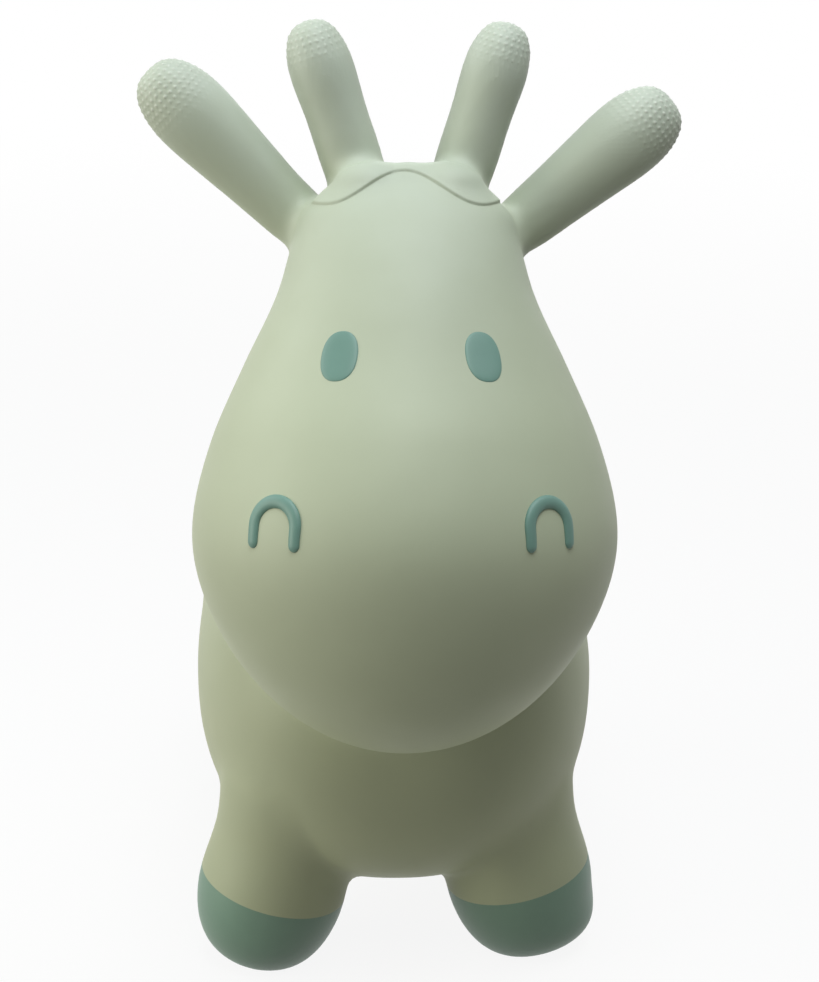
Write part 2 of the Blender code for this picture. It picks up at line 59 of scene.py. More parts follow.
# Head: a pear, muzzle down and crown up, leaning back along its axis. Its over side is the face
HEAD_TILT = radians(18)
MUZZLE_Y = -0.140
MUZZLE_Z = 0.294
MUZZLE_DROP = 0.125
HEAD_SHAPE = dict(
    length=0.319, wide=0.124, over=0.118, under=0.110, end_share=1.0, fineness=LARGE_FORM,
    stations=(0, 0.2, 0.36, 0.53, 0.67, 0.79, 0.88, 0.95, 1),
    wide_shares=(1, 1, 0.975, 0.86, 0.75, 0.69, 0.76, 0.90, 0.78),
    over_shares=(1, 1, 0.98, 0.85, 0.71, 0.65, 0.61, 0.58, 0.59),
    under_shares=(1, 1, 1, 0.95, 0.86, 0.77, 0.71, 0.68, 0.68))

# Body: a barrel along Y with a slight saddle. Its under side is the belly
BODY_LENGTH = 0.395
BODY_WIDTH = 0.245
BODY_FRONT_Y = -0.160
BODY_Z = 0.155
MIDDLE_Y = BODY_FRONT_Y + BODY_LENGTH / 2
BODY_SHAPE = dict(
    length=BODY_LENGTH, wide=BODY_WIDTH / 2, over=0.112, under=0.119, end_share=0.714,
    section_share=0.87, fineness=LARGE_FORM, stations=(0, 0.25, 0.5, 0.75, 1),
    wide_shares=(1, 1, 0.98, 1, 1), over_shares=(1, 0.98, 0.95, 1.03, 1.05),
    under_shares=(1, 1, 0.99, 1, 1))

# Legs: blunt stubs that splay outwards
LEG_LENGTH = 0.170
LEG_RADIUS = 0.044
SIDE_INSET = 0.0475
FRONT_INSET = 0.071
REAR_INSET = 0.080
LEG_X = BODY_WIDTH / 2 - SIDE_INSET
FRONT_LEG_Y = BODY_FRONT_Y + FRONT_INSET
REAR_LEG_Y = BODY_FRONT_Y + BODY_LENGTH - REAR_INSET
LEG_STAGGER = 0.007
LEG_SPLAY = radians(14)
LEG_END_SHARE = 0.667
LEG_STATIONS = (0, 0.25, 0.5, 0.75, 1)
LEG_SIZES = (1.06, 1.04, 0.97, 1.12, 1.15)
SOLE_DEPTH = 0.0027
HOOF_HEIGHT = 0.051
HOOF_LINE_TILT = radians(14)

# Grips
GRIP_END_SHARE = 0.667
GRIP_ROOT_END = 0.040  # how far along a grip its flexing base reaches
EAR_ROOT_SHARES = (0.379, 0.186, 0.874)
EAR_REACH = (0.0965, 0.0130, 0.0865)
EAR_WIDTH = 0.0475
EAR_THICKNESS = 0.041
EAR_DROOP = 0.007
EAR_SHIFT = 0.003
HORN_ROOT_SHARES = (0.1742, 0.124, 0.9246)
HORN_REACH = (0.0339, 0.0150, 0.1035)
HORN_SHIFT = 0.0022  # both horns' roots sit this far left, their tips less
HORN_TIP_SHIFT = 0.0006
HORN_WIDTH = 0.0372
GRIP_STATIONS = (0, 0.3, 0.55, 0.8, 1)
EAR_SIZES = (0.80, 0.76, 0.86, 1, 1.02)
HORN_SIZES = (1, 0.93, 0.91, 1.02, 1.02)

# Skin
WALL = 0.0025
SKIN_FACE = 0.0028  # size of the fused skin's faces
SKIN_PASSES = 2  # how often the whole skin is smoothed
SETTLE_ROUNDS = 4  # how often it's drawn onto its rounded creases
SETTLED = 0.00002
ON_SURFACE = 5 * SETTLED  # nearer than this the way out is the surface's own
LEAST_SLOPE = 0.1
LEAST_BEND = 0.05
SLOPE_STEP = 0.01  # of a ball of radius 1, for reading how a form slopes
CHIN_FILLET = 0.010
NECK_FILLET = 0.055
NECK_FRONT_Y, NECK_BACK_Y = -0.120, -0.040
LEG_FILLET = 0.050
INNER_LEG_FILLET = 0.010
INNER_LEG_X, OUTER_LEG_X = 0.040, 0.068
OUTSIDE_LEG_FILLET = 0.030
FLANK_X, OUTSIDE_X = 0.080, 0.102
EAR_FILLET = 0.013  # on an ear's lower side
EAR_TOP_FILLET = 0.007
EAR_FILLET_SHARES = (-0.3, 0.6)  # of its half width: where the one turns into the other
HORN_FILLET = 0.008
TAIL_FILLET = 0.0045
HUMP_FILLET = 0.014
LEFT_LEG_SHIFT = 0.0018  # the left front leg stands this much further out
HOOF_CORNER = 0.0045  # and its hoof is squarer outside
HOOF_CORNER_Z = 0.3 * LEG_RADIUS
ROOT_REACH = 1.6  # of a form's half width: how far from its axis its root reaches

# Where a leg gives way, its skin is parted from the barrel's along a line under the barrel
GIVE_INNER = (0.033, 0.020)  # x and z of the line's inner point
GIVE_OUTER = (0.118, 0.084)
GRIP_GIVE = 0.015  # how far a grip gives way beyond its joint

# Hair: a raised cap on the crown, with a hump before each horn and a lower one between them.
# Its edge is a wave, highest in the middle of the forehead
CROWN_SHARE = 0.88  # of the head's length
HAIR_RELIEF = 0.0014
HAIR_RIM = 0.0016  # how wide the rounded rim is
HAIR_MIDDLE_X = -0.002
HAIR_CREST_SHARE = 0.990  # of the head's length
HAIR_DROP_SHARE = 0.058
HAIR_WAVE = 0.041  # from the crest to a trough
HAIR_WAVES = 1.6  # how many of these the edge runs on to each side
HAIR_CLEARANCE = 0.008  # the relief dies away this near a grip
LEAST_RISE = 0.3  # of the skin along the head, where it's nearly level
HUMP_CENTRE = (0.0210, -0.0910, 0.4705)
HUMP_SHIFT = 0.0010
HUMP_MIDDLE_DROP = 0.0012
HUMP_RADII = (0.0195, 0.0165, 0.0138)

# Pimples on the tips of the ears and horns
PIMPLE_SPACING = 0.0038
PIMPLE_RADIUS = 0.0012
PIMPLE_HEIGHT = 0.00038
EAR_PIMPLE_ROWS = 12
HORN_PIMPLE_ROWS = 9
PIMPLE_FADE_ROWS = 5
PIMPLE_STEPS = 400

# Hoof paint, which ends on the belly in an arc
PAINT_REACH = 1.17 * LEG_RADIUS  # from the leg's axis
PAINT_FENCE_SIDES = 12
PAINT_FENCE_START = radians(-90)
PAINT_FENCE_TURN = radians(18)
LEG_COLUMN = 1.35 * LEG_RADIUS  # all of a leg's skin is this near its axis
LEG_COLUMN_TOP = 0.09
QUARTER_X = 0.01  # where the skin around a left or right leg begins

# Nape, smoothed on until its wide crease runs evenly
NAPE_Y = -0.045
NAPE_REACH = 0.035
NAPE_PASSES = 40
NAPE_TOP = 0.30  # none of the body's skin reaches higher

# Tail
TAIL_ROOT_INSET = 0.030
TAIL_ROOT_RISE = 0.067
TAIL_REACH = (0, 0.042, -0.080)
TAIL_WIDTH = 0.024
TAIL_END_SHARE = 0.91
TAIL_STATIONS = (0, 0.35, 0.7, 1)
TAIL_SIZES = (0.55, 0.6, 1, 0.8)
TAIL_LOCKS = 7
TAIL_LOCK_DEPTH = 0.0011
TAIL_LOCK_TWIST = 1.6
TAIL_LOCK_FULLNESS = 0.6
TAIL_LOCK_MIDDLE = 0.8
TAIL_LOCK_SHARES = (0.25, 0.6)  # of the tail's length: where the grooves begin and are full

# Eyes and nostrils
STAMP_HEIGHT = 0.03
EYE_FINENESS = (64, 40)
EYE_FLATNESS = 0.45
EYE_RELIEF = 0.0010
EYE_ALONG_SHARE = 0.6745
EYE_ROUND = radians(25.5)
EYE_WIDTH = 0.0203
EYE_HEIGHT = 0.0288
EYE_LEAN = radians(-11)
EYE_FULLNESS = 2.3
NOSTRIL_FINENESS = (28, 90)
NOSTRIL_ALONG_SHARE = 0.382
NOSTRIL_ROUND = radians(37.8)
NOSTRIL_LEAN = radians(8)
NOSTRIL_SPREAD = 0.0262
NOSTRIL_LEG = 0.0120
NOSTRIL_BAND = 0.0071
NOSTRIL_TAPER = 0.14  # the band is narrower at the ends by this share
NOSTRIL_RELIEF = 0.0021

# Valve under the belly
GAP = 0.0003
VALVE_Y = 0.030
VALVE_Z = 0.03485  # underside of the seat's flange
VALVE_STEPS = 72
VALVE_ROUNDING = 0.00022
VALVE_ROUNDING_STEPS = 3
VALVE_HOLE_RADIUS = 0.0105
SHARP = radians(25)
SEAT_FLANGE_RADIUS = 0.0130
SEAT_FLANGE_THICKNESS = 0.0020
SEAT_NECK_RADIUS = 0.0090
SEAT_LENGTH = 0.0110
SEAT_LIP_RADIUS = 0.0115
SEAT_GROOVE = WALL + 0.0019
SEAT_BEAD = 0.0006
BORE_RADIUS = 0.0042
PLUG_CAP_RADIUS = 0.0085
PLUG_CAP_THICKNESS = 0.0022
PLUG_DISH_SHARE = 0.55
PLUG_STEM_LENGTH = 0.0130
PLUG_TIP_RADIUS = 0.0028
PLUG_TIP_LENGTH = 0.0040
PLUG_GROOVES = 3
PLUG_GROOVE_PITCH = 0.0024
PLUG_GROOVE_DEPTH = 0.0003
PULL_TAB_START = 0.0060
PULL_TAB_END = 0.0118
PULL_TAB_WIDTH = 0.0060
PULL_TAB_CORNER = 0.45 * PULL_TAB_WIDTH
PULL_TAB_CORNER_STEPS = 8

# Camera, from the photograph
CAMERA_TARGET = Vector((0, -0.070, 0.285))
CAMERA_TURN = radians(-2.5)
CAMERA_RISE = radians(20)
CAMERA_ROLL = radians(1)
CAMERA_AWAY = 1.350
CAMERA_FOCAL = 2338.8  # in pixels of the photograph
PHOTO_WIDTH, PHOTO_HEIGHT = 819, 982
PHOTO_MIDDLE = (399.8, 496.4)
SENSOR = 36

# Colours
WHITE = (1, 1, 1)
SAGE = (0.53, 0.585, 0.42)
# Painted light: paler and bluer higher up, where the light falls from above
LIT_TOP_SAGE = (0.595, 0.67, 0.605)
# Painted shade: darker and yellower low down, where the shade falls
SHADED_LOW_SAGE = (0.49, 0.52, 0.31)
# Painted highlight: paler on the pimples' tops
PIMPLE_HIGHLIGHT_SAGE = (0.78, 0.80, 0.72)
FACE_TEAL = (0.155, 0.295, 0.245)
HOOF_TEAL = (0.195, 0.32, 0.24)
SCUFFED_TEAL = (0.33, 0.38, 0.31)
IVORY = (0.80, 0.80, 0.74)
CREAM = (0.76, 0.76, 0.69)
SHADED_LOW_HEIGHTS = (0.36, 0.03)  # over the floor: where the painted shade low down begins and is full
# over the floor: where the painted light on top begins and is full
LIT_TOP_HEIGHTS = (0.35, 0.55)
SCUFF_HEIGHTS = (0.016, 0.002)

# Studio: each light's name, place, power in watts and colour
LIGHTS = (("left_window", (-1.6, -0.5, 0.5), 11, (1, 0.98, 0.86)),
          ("left_rear_window", (-1.6, 0.3, 1.3), 8, (0.95, 0.97, 1)),
          ("ceiling", (0, 0, 2.1), 10, (0.84, 0.92, 1)),
          ("front_ceiling", (0, -0.9, 2.0), 14, (0.96, 1, 0.98)),
          ("right_ceiling", (0.8, -0.1, 1.9), 7, (0.96, 0.98, 1)),
          ("back_of_room", (0.3, 2.0, 1.3), 4, WHITE))
LIGHT_SIZE = 1.1
LIGHT_TARGET = Vector((0, 0, 0.3))
ROOM_COLOUR = (1, 0.98, 0.9)
ROOM_LIGHT = 0.02
FLOOR_RADIUS = 12
FLOOR_SIDES = 96
FLOOR_BOUNCE = (0.30, 0.29, 0.25)
FLOOR_SEEN = (0.95, 0.95, 0.95)
FLOOR_GLOW = 0.90  # share of plain white in what is seen, and all of it far away
FLOOR_NEAR = 0.5
FLOOR_FAR = 2.5


def smooth_value(share, stations, values):
    """A smooth curve through the values at the stations, read at one share of the length."""
    last = len(stations) - 1
    i = 0
    while i < last - 1 and share > stations[i + 1]:
        i += 1
    step = stations[i + 1] - stations[i]
    t = (share - stations[i]) / step

    def slope(at):
        low, high = max(at - 1, 0), min(at + 1, last)
        return (values[high] - values[low]) / (stations[high] - stations[low])

    start = (1 + 2 * t) * (1 - t) ** 2 * values[i] + t * (1 - t) ** 2 * step * slope(i)
    end = t * t * (3 - 2 * t) * values[i + 1] + t * t * (t - 1) * step * slope(i + 1)
    return start + end


def eased(value, low, high):
    """0 below low, 1 above high and a soft step between them."""
    t = min(max((value - low) / (high - low), 0.0), 1)
    return t * t * (3 - 2 * t)


@dataclass
class Form:
    """A blown form: an oval section that changes along a straight axis, with rounded ends."""
    start: Vector
    along: Vector
    across: Vector
    length: float
    wide: float
    over: float
    under: float
    stations: tuple
    wide_shares: tuple
    over_shares: tuple
    under_shares: tuple
    end_share: float
    section_share: float = 1.0
    fineness: tuple = SMALL_FORM

    def place(self, unit_point):
        """Where a point of the unit sphere, whose Z is the form's axis, lands on the form."""
        share = min(max((1 + unit_point.z) / 2, 0.0), 1)
        power = 2 / self.end_share
        end_round = max(1 - abs(2 * share - 1) ** power, 0.0) ** (1 / power)
        around = Vector([copysign(abs(part) ** self.section_share, part)
                         for part in unit_point.xy.normalized()])
        wide = self.wide * smooth_value(share, self.stations, self.wide_shares)
        if around.y < 0:
            deep = self.over * smooth_value(share, self.stations, self.over_shares)
        else:
            deep = self.under * smooth_value(share, self.stations, self.under_shares)
        under_way = self.along.cross(self.across)
        middle = self.start + self.along * (share * self.length)
        return middle + (self.across * around.x * wide + under_way * around.y * deep) * end_round

    def on_surface(self, share, turn):
        """Point and outward direction at a share of the length, turned from the over side."""
        height = 2 * share - 1

        def at(turned, raised):
            level = height + raised
            ring = sqrt(1 - level ** 2)
            return self.place(Vector((ring * sin(turned), -ring * cos(turned), level)))

        round_way = at(turn + SLOPE_STEP, 0) - at(turn - SLOPE_STEP, 0)
        up_way = at(turn, SLOPE_STEP) - at(turn, -SLOPE_STEP)
        return at(turn, 0), round_way.cross(up_way).normalized()

    def surface(self):
        bm = unit_ball(self.fineness)
        for vert in bm.verts:
            vert.co = self.place(vert.co)
        bm.normal_update()
        return bm

    def along_axis(self, point):
        return (point - self.start).dot(self.along)

    def off_axis(self, point):
        away = point - self.start
        return (away - self.along * away.dot(self.along)).length


def unit_ball(fineness):
    bm = bmesh.new()
    bmesh.ops.create_uvsphere(bm, u_segments=fineness[0], v_segments=fineness[1], radius=1)
    return bm


def head_form():
    along = Vector((0, sin(HEAD_TILT), cos(HEAD_TILT)))
    start = Vector((0, MUZZLE_Y, MUZZLE_Z)) - along * MUZZLE_DROP
    return Form(start, along, LEFT, **HEAD_SHAPE)


def body_form():
    return Form(Vector((0, BODY_FRONT_Y, BODY_Z)), BACK, LEFT, **BODY_SHAPE)


def leg_form(side, leg_y, shift=0.0):
    along = Vector((-side * sin(LEG_SPLAY), 0, cos(LEG_SPLAY)))
    ball = Vector((side * (LEG_X + shift), leg_y, LEG_RADIUS - SOLE_DEPTH))
    return Form(ball - along * LEG_RADIUS, along, BACK, LEG_LENGTH, LEG_RADIUS, LEG_RADIUS,
                LEG_RADIUS, LEG_STATIONS, LEG_SIZES, LEG_SIZES, LEG_SIZES, LEG_END_SHARE)


def head_place(head, side, shares):
    """A place in the head at shares of its half width, of its nape's depth and of its length."""
    out, back, up = shares
    back_way = head.along.cross(head.across)
    return (head.start + head.across * (side * out * head.wide) + back_way * (back * head.under)
            + head.along * (up * head.length))


def grip_form(root, reach, width, thickness, sizes):
    """An ear or horn: a club whose width faces the rider and whose thickness runs fore and aft."""
    run = Vector(reach)
    along = run.normalized()
    across = BACK.cross(along).normalized()
    return Form(root, along, across, run.length, width / 2, thickness / 2, thickness / 2,
                GRIP_STATIONS, sizes, sizes, sizes, GRIP_END_SHARE)


def ear_form(head, side):
    reach = (side * EAR_REACH[0], EAR_REACH[1], EAR_REACH[2] - side * EAR_DROOP)
    root = head_place(head, side, EAR_ROOT_SHARES) + Vector((EAR_SHIFT, 0, 0))
    return grip_form(root, reach, EAR_WIDTH, EAR_THICKNESS, EAR_SIZES)


def horn_form(head, side):
    root = head_place(head, side, HORN_ROOT_SHARES) + Vector((HORN_SHIFT, 0, 0))
    back = HORN_SHIFT - HORN_TIP_SHIFT
    reach = (side * HORN_REACH[0] - back, HORN_REACH[1], HORN_REACH[2])
    return grip_form(root, reach, HORN_WIDTH, HORN_WIDTH, HORN_SIZES)


def hump_form(side):
    """A puffed-up part of the hair."""
    across, deep, high = HUMP_RADII
    centre = Vector((side * HUMP_CENTRE[0] + HUMP_SHIFT, HUMP_CENTRE[1], HUMP_CENTRE[2]))
    if side == 0:
        centre.z -= HUMP_MIDDLE_DROP
    even = (1, 1, 1)
    return Form(centre - Vector((across, 0, 0)), LEFT, BACK, 2 * across,
                deep, high, high, (0, 0.5, 1), even, even, even, 1)


def tail_form():
    rump_y = BODY_FRONT_Y + BODY_LENGTH
    root = Vector((0, rump_y - TAIL_ROOT_INSET, BODY_Z + TAIL_ROOT_RISE))
    run = Vector(TAIL_REACH)
    half = TAIL_WIDTH / 2
    return Form(root, run.normalized(), LEFT, run.length, half, half, half,
                TAIL_STATIONS, TAIL_SIZES, TAIL_SIZES, TAIL_SIZES, TAIL_END_SHARE)


def add_object(name, data):
    made = bpy.data.objects.new(name, data)
    bpy.context.scene.collection.objects.link(made)
    return made


def object_from(name, bm):
    mesh = bpy.data.meshes.new(name)
    bm.to_mesh(mesh)
    bm.free()
    return add_object(name, mesh)


def smooth_object(name, bm):
    bmesh.ops.recalc_face_normals(bm, faces=bm.faces)
    for face in bm.faces:
        face.smooth = True
    return object_from(name, bm)


def as_one_surface(rough):
    """Everything in a mesh fused into one closed surface of even faces."""
    together = object_from("all_forms", rough)
    remesh = together.modifiers.new("one_skin", "REMESH")
    remesh.mode = "VOXEL"
    remesh.voxel_size = SKIN_FACE
    depsgraph = bpy.context.evaluated_depsgraph_get()
    skin = bmesh.new()
    skin.from_mesh(together.evaluated_get(depsgraph).to_mesh())
    bpy.data.objects.remove(together, do_unlink=True)
    return skin


class Blown:
    """A form's surface, from which the height of any point over it is read."""

    def __init__(self, form, fillet):
        surface = form.surface()
        self.mesh = bpy.data.meshes.new("blown_form")
        surface.to_mesh(self.mesh)
        self.tree = BVHTree.FromBMesh(surface)
        self.box = [(min(span), max(span)) for span in zip(*(vert.co for vert in surface.verts))]
        surface.free()
        self.fillet = fillet

    def near(self, point, reach):
        return all(low - reach < at < high + reach for at, (low, high) in zip(point, self.box))

    def height(self, point):
        """How far the point is outside, and the way out."""
        foot, out, _, _ = self.tree.find_nearest(point)
        away = point - foot
        rise = copysign(away.length, away.dot(out))
        if abs(rise) > ON_SURFACE:
            out = away / rise
        return rise, out


def height_over_skin(point, forms):
    """Height over the forms when the crease between each and those before it is rounded out."""
    rise, out = forms[0][0].height(point)
    for form, fillet in forms[1:]:
        next_rise, next_out = form.height(point)
        fillet *= max(1 - out.dot(next_out), LEAST_BEND)
        share = min(max(0.5 + (next_rise - rise) / (2 * fillet), 0.0), 1)
        rise = next_rise * (1 - share) + rise * share - fillet * share * (1 - share)
        out = next_out * (1 - share) + out * share
    return rise, out


def draw_onto_forms(skin, forms):
    """Round out the creases by drawing the skin's points onto the rounded forms."""
    for vert in skin.verts:
        fillets = ((form, form.fillet(vert.co)) for form in forms)
        near = [(form, fillet) for form, fillet in fillets if form.near(vert.co, fillet)]
        if len(near) < 2:
            continue
        for _ in range(SETTLE_ROUNDS):
            rise, out = height_over_skin(vert.co, near)
            vert.co -= out * (rise / max(out.length_squared, LEAST_SLOPE))
            if abs(rise) < SETTLED:
                break


def neck_fillet(point):
    return CHIN_FILLET + (NECK_FILLET - CHIN_FILLET) * eased(point.y, NECK_FRONT_Y, NECK_BACK_Y)


def leg_fillet(point):
    """Tight between the legs, wide in front of and behind each, and moderate on its outside."""
    inner = eased(abs(point.x), INNER_LEG_X, OUTER_LEG_X)
    outside = eased(abs(point.x), FLANK_X, OUTSIDE_X)
    fillet = INNER_LEG_FILLET + (LEG_FILLET - INNER_LEG_FILLET) * inner
    return fillet + (OUTSIDE_LEG_FILLET - fillet) * outside


def ear_fillet(ear):
    """Tight in the valley between an ear and its horn, wide below the ear."""
    down = Vector((copysign(ear.along.z, ear.along.x), 0, -abs(ear.along.x)))
    start, end = (share * ear.wide for share in EAR_FILLET_SHARES)

    def fillet(point):
        below = eased((point - ear.start).dot(down), start, end)
        return EAR_TOP_FILLET + (EAR_FILLET - EAR_TOP_FILLET) * below

    return fillet


def even_fillet(width):
    return lambda point: width


def soften(skin, verts, passes):
    for _ in range(passes):
        bmesh.ops.smooth_vert(skin, verts=verts, factor=0.5, use_axis_x=True, use_axis_y=True,
                              use_axis_z=True)


def fused_skin(head, body, legs, grips, tail):
    """The whole blown skin as one closed surface with rounded creases and flat soles. Returns
    it and the surfaces of the head, the body and the tail."""
    forms = [Blown(head, neck_fillet), Blown(body, neck_fillet)]
    forms += [Blown(leg, leg_fillet) for leg in legs.values()]
    forms += [Blown(hump_form(side), even_fillet(HUMP_FILLET)) for side in (-1, 0, 1)]
    for name, grip in grips.items():
        forms.append(Blown(grip, ear_fillet(grip) if "ear" in name else even_fillet(HORN_FILLET)))
    forms.append(Blown(tail, even_fillet(TAIL_FILLET)))
    rough = bmesh.new()
    for form in forms:
        rough.from_mesh(form.mesh)
    skin = as_one_surface(rough)
    draw_onto_forms(skin, forms)
    soften(skin, skin.verts, SKIN_PASSES)
    nape = [vert for vert in skin.verts if vert.co.y > NAPE_Y
            and all(form.height(vert.co)[0] < NAPE_REACH for form in forms[:2])]
    soften(skin, nape, NAPE_PASSES)
    for vert in skin.verts:
        place = vert.co
        if place.x > LEG_X and place.y < 0:
            outside = eased(place.x, LEG_X, LEG_X + LEG_RADIUS)
            place.x += HOOF_CORNER * outside * (1 - eased(place.z, HOOF_CORNER_Z, LEG_RADIUS))
        place.z = max(place.z, 0)
    return skin, forms[0], forms[1], forms[-1]


def give_plane(side):
    """Inner point of the line where a leg starts to give way, and the way down and out."""
    inner, outer = (Vector((side * x, 0, z)) for x, z in (GIVE_INNER, GIVE_OUTER))
    run = (outer - inner).normalized()
    return inner, Vector((run.z * side, 0, -abs(run.x)))


def hoof_plane(side, leg_y):
    point = Vector((side * LEG_X, leg_y, HOOF_HEIGHT))
    return point, Vector((side * sin(HOOF_LINE_TILT), 0, -cos(HOOF_LINE_TILT)))


def split_faces(skin, chosen, point, direction):
    """Cut the chosen faces along a plane without parting them."""
    faces = [face for face in skin.faces if chosen(face.calc_center_median())]
    edges = {edge for face in faces for edge in face.edges}
    verts = {vert for face in faces for vert in face.verts}
    bmesh.ops.bisect_plane(skin, geom=faces + list(edges) + list(verts), dist=SETTLED,
                           plane_co=point, plane_no=direction)


def refine(skin, chosen, cuts):
    """Divide the faces around the chosen places more finely."""
    edges = {edge for face in skin.faces if chosen(face.calc_center_median())
             for edge in face.edges}
    bmesh.ops.subdivide_edges(skin, edges=list(edges), cuts=cuts, use_grid_fill=True)


def pimple_places(grip, rows):
    """Rows of places round a grip's tip, each row half a step on from the one before it."""
    places = []
    row, walked = 0, 0.0
    last = grip.place(UP)
    for step in range(1, PIMPLE_STEPS):
        height = cos(pi / 2 * step / PIMPLE_STEPS)
        ring = sqrt(1 - height ** 2)
        spot = grip.place(Vector((ring, 0, height)))
        walked += (spot - last).length
        last = spot
        if walked < (row + 0.5) * PIMPLE_SPACING:
            continue
        count = max(round(tau * grip.off_axis(spot) / PIMPLE_SPACING), 1)
        size = min((rows - row) / PIMPLE_FADE_ROWS, 1)
        for i in range(count):
            turn = (i + 0.5 * (row % 2)) * tau / count
            on_ball = Vector((ring * cos(turn), ring * sin(turn), height))
            places.append((grip.place(on_ball), size))
        row += 1
        if row == rows:
            break
    return places


def pimple_rows(name):
    return EAR_PIMPLE_ROWS if "ear" in name else HORN_PIMPLE_ROWS


def raise_pimples(skin, grip, rows, pimple_highlight):
    """Low round dots over a grip's tip, so that small hands don't slip."""
    places = pimple_places(grip, rows)
    tree = KDTree(len(places))
    for i, (place, _) in enumerate(places):
        tree.insert(place, i)
    tree.balance()
    tip = grip.length - rows * PIMPLE_SPACING
    for vert in skin.verts:
        if grip.along_axis(vert.co) > tip and grip.off_axis(vert.co) < 2 * grip.wide:
            _, i, away = tree.find(vert.co)
            dome = max(1 - (away / PIMPLE_RADIUS) ** 2, 0) * places[i][1]
            vert.co += vert.normal * (PIMPLE_HEIGHT * dome)
            # each pimple's top is marked for the painted highlight
            vert[pimple_highlight] = dome


def over_hair_edge(head, point, normal):
    """How far up the skin from the hair's edge a point lies."""
    away = min(abs(point.x - HAIR_MIDDLE_X) / HAIR_WAVE, HAIR_WAVES)
    drop = HAIR_DROP_SHARE * (1 - cos(pi * away)) / 2
    over = head.along_axis(point) - (HAIR_CREST_SHARE - drop) * head.length
    return over / max(sqrt(max(1 - normal.dot(head.along) ** 2, 0)), LEAST_RISE)


def raise_hair(skin, head, grips, on_crown):
    """Lift the hair over the forehead with a rounded rim that dies away at the grips."""
    for vert in skin.verts:
        over = over_hair_edge(head, vert.co, vert.normal) if on_crown(vert.co) else 0
        if over <= 0:
            continue
        relief = sqrt(1 - (1 - min(over / HAIR_RIM, 1)) ** 2)
        for grip in grips.values():
            if grip.along_axis(vert.co) > 0:
                relief *= eased(grip.off_axis(vert.co) - grip.wide, 0.0, HAIR_CLEARANCE)
        vert.co += vert.normal * (HAIR_RELIEF * relief)


def comb_tail(skin, tail):
    """Press the grooves between the tuft's locks."""
    across, under = tail.across, tail.along.cross(tail.across)
    for vert in skin.verts:
        if tail.off_axis(vert.co) > TAIL_WIDTH:
            continue
        along = tail.along_axis(vert.co) / tail.length
        away = vert.co - tail.start
        turn = atan2(away.dot(under), away.dot(across)) + TAIL_LOCK_TWIST * along
        lock = abs(sin(TAIL_LOCKS * turn / 2)) ** TAIL_LOCK_FULLNESS
        fade = eased(along, *TAIL_LOCK_SHARES)
        vert.co += vert.normal * (TAIL_LOCK_DEPTH * fade * (lock - TAIL_LOCK_MIDDLE))


def skin_piece(name, skin, number):
    """One numbered region of the skin as a piece with a closed wall. Its outer face keeps the
    whole skin's slopes, so that it meets its neighbours without a seam."""
    piece = skin.copy()
    layer = piece.faces.layers.int["region"]
    inward = piece.verts.layers.float_vector["plain_slope"]
    outer = piece.faces.layers.int.new("outer")
    bmesh.ops.delete(piece, geom=[face for face in piece.faces if face[layer] != number],
                     context="FACES")
    shell = list(piece.faces)
    drawn = bmesh.ops.extrude_face_region(piece, geom=shell, use_keep_orig=True)
    for item in drawn["geom"]:
        if isinstance(item, bmesh.types.BMVert):
            item.co -= item[inward] * WALL
    bmesh.ops.reverse_faces(piece, faces=piece.faces)
    for face in piece.faces:
        face.smooth = True
    for face in shell:
        face[outer] = 1
    made = object_from(name, piece)
    mesh = made.data
    slopes = mesh.attributes["slope"].data
    outers = mesh.attributes["outer"].data
    normals = [(0, 0, 0)] * len(mesh.loops)
    for polygon in mesh.polygons:
        if outers[polygon.index].value:
            for index in polygon.loop_indices:
                normals[index] = slopes[mesh.loops[index].vertex_index].vector
    mesh.normals_split_custom_set(normals)
    for spare in ("slope", "plain_slope", "outer", "region"):
        mesh.attributes.remove(mesh.attributes[spare])
    return made


@dataclass
class Signal:
    """A value in a material. Sums on it add the shader's own sums."""
    nodes: object
    socket: bpy.types.NodeSocket

    def sum(self, operation, other):
        return self.nodes.signal("Math", 0, {0: self, 1: other}, operation=operation)

    def __add__(self, other):
        return self.sum("ADD", other)

    __radd__ = __add__

    def __sub__(self, other):
        return self.sum("SUBTRACT", other)

    def __mul__(self, other):
        return self.sum("MULTIPLY", other)


class Nodes:
    """The nodes that a material or the room's light is built up from."""

    def __init__(self, owner):
        owner.use_nodes = True
        self.tree = owner.node_tree

    def node(self, kind, sockets, **settings):
        made = self.tree.nodes.new("ShaderNode" + kind)
        for key, value in settings.items():
            setattr(made, key, value)
        for key, value in sockets.items():
            self.feed(made.inputs[key], value)
        return made

    def signal(self, kind, output, sockets, **settings):
        return Signal(self, self.node(kind, sockets, **settings).outputs[output])

    def feed(self, socket, value):
        if isinstance(value, Signal):
            value = value.socket
        if isinstance(value, bpy.types.NodeSocket):
            self.tree.links.new(value, socket)
        else:
            socket.default_value = (*value, 1) if socket.type == "RGBA" else value

    def seen_directly(self):
        """1 for what the camera sees, straight or in a reflection, 0 for the light it throws."""
        path = self.node("LightPath", {}).outputs
        seen = Signal(self, path["Is Camera Ray"])
        for way in ("Is Glossy Ray", "Is Transmission Ray"):
            seen = seen.sum("MAXIMUM", path[way])
        return seen

    def show(self, output, share, first, second):
        """Lead a mix of two shaders to an output."""
        mixed = self.node("MixShader", {0: share, 1: first.outputs[0], 2: second.outputs[0]})
        self.feed(self.tree.nodes[output].inputs["Surface"], mixed.outputs[0])


